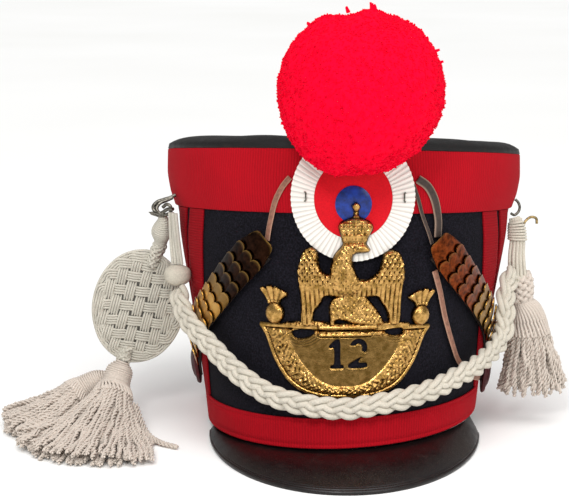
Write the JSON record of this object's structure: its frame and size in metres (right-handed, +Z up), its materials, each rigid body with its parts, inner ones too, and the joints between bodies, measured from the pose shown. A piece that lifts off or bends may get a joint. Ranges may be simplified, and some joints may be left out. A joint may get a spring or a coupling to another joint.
{
  "type": "shako hat",
  "caption": "Tall felt soldier's hat with a leather crown and visor, cloth bands, pierced brass front plate, cockade, woollen pompom, metal-scaled chin straps, plaited cords and tassels.",
  "frame": {"origin": "on the table, under the middle of the hat without its hanging cords", "axes": "+Z up from the table, -Y out of the hat's front over the visor, +X toward the side with the single hanging tassel, on the right in a front view"},
  "size_m": [0.3981, 0.3144, 0.2892],
  "materials": {
    "felt": "matt black wool felt",
    "black_leather": "blackened and waxed, slightly scuffed",
    "red_cloth": "ribbed woven wool tape",
    "tan_leather": "undyed vegetable-tanned, dry",
    "brass": "stamped and polished, toned in the hollows",
    "dark_wire": "dull tinned iron wire",
    "red_wool": "clipped wool yarn",
    "white_cord": "twisted cotton cord",
    "cockade_white": "pleated cloth",
    "cockade_red": "plain cloth",
    "cockade_blue": "glazed cloth"
  },
  "bodies": {
    "root": {"body_shell": "felt", "crown_top": "black_leather", "top_band": "red_cloth", "bottom_band": "red_cloth", "chevron_left_outer": "red_cloth", "chevron_left_inner": "red_cloth", "chevron_right_outer": "red_cloth", "chevron_right_inner": "red_cloth", "visor": "black_leather", "cockade_white_ring": "cockade_white", "cockade_red_ring": "cockade_red", "cockade_blue_centre": "cockade_blue", "cockade_staple_left": "dark_wire", "cockade_staple_right": "dark_wire", "eagle_plate": "brass", "pompom": "red_wool", "chinscale_strap_left": "tan_leather", "chinscale_strap_right": "tan_leather", "chinscale_boss_left": "black_leather", "chinscale_boss_right": "black_leather", "scale_left_01": "brass", "scale_left_02": "brass", "scale_left_03": "brass", "scale_left_04": "brass", "scale_left_05": "brass", "scale_left_06": "brass", "scale_left_07": "brass", "scale_left_08": "brass", "scale_left_09": "brass", "scale_left_10": "brass", "scale_left_11": "brass", "scale_left_12": "brass", "scale_right_01": "brass", "scale_right_02": "brass", "scale_right_03": "brass", "scale_right_04": "brass", "scale_right_05": "brass", "scale_right_06": "brass", "scale_right_07": "brass", "scale_right_08": "brass", "scale_right_09": "brass", "scale_right_10": "brass", "scale_right_11": "brass", "scale_right_12": "brass", "lace_left": "tan_leather", "lace_right_arch": "tan_leather", "lace_right_thin": "tan_leather", "lace_long": "tan_leather", "side_hook_left": "dark_wire", "side_hook_right": "dark_wire", "cord_hook_right": "brass", "front_plait": "white_cord", "cord_left_front": "white_cord", "cord_left_rear": "white_cord", "cord_slide_left": "white_cord", "raquette_left": "white_cord", "tassel_left_front": "white_cord", "tassel_left_rear": "white_cord", "cord_bundle_right": "white_cord", "tassel_right": "white_cord"}
  },
  "joints": []
}
